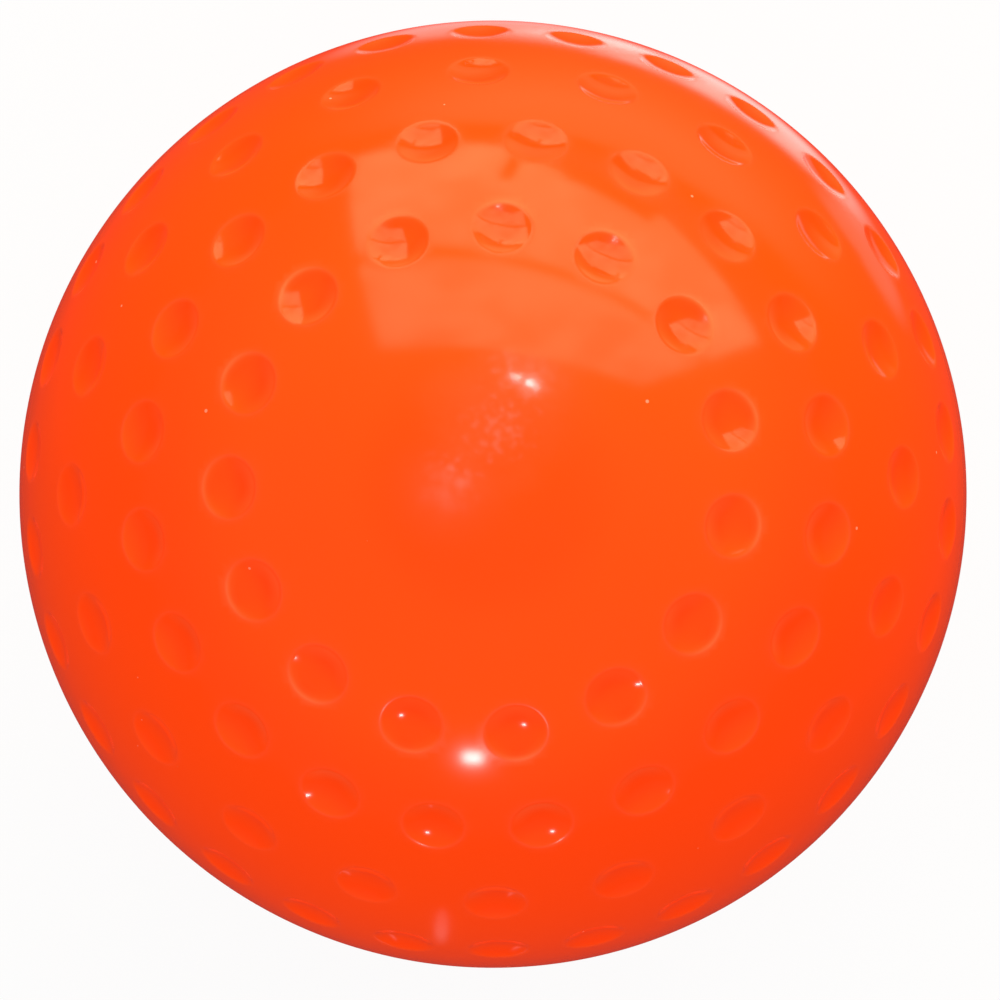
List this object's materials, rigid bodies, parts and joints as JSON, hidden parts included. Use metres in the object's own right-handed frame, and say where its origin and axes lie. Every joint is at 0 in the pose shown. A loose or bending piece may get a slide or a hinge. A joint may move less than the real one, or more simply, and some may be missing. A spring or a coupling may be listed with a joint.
{
  "type": "field hockey ball",
  "caption": "Glossy field hockey ball: a moulded plastic cover with rings of shallow dimples round smooth polar caps, over a cork core with a rubber centre.",
  "frame": {"origin": "centre of the ball", "axes": "+Z along the axis of the mould, through the middle of the smooth cap that faces the camera in the picture; the mould parts at z = 0; +Y towards a dimple of the two outer rings of the upper half"},
  "size_m": [0.0732, 0.0732, 0.0732],
  "materials": {
    "cover_plastic": "gloss",
    "cork": "matte",
    "centre_rubber": "matte"
  },
  "bodies": {
    "root": {"cover_upper_half": "cover_plastic", "cover_lower_half": "cover_plastic", "core_rear_cup": "cork", "core_front_cup": "cork", "core_centre": "centre_rubber"}
  },
  "joints": []
}
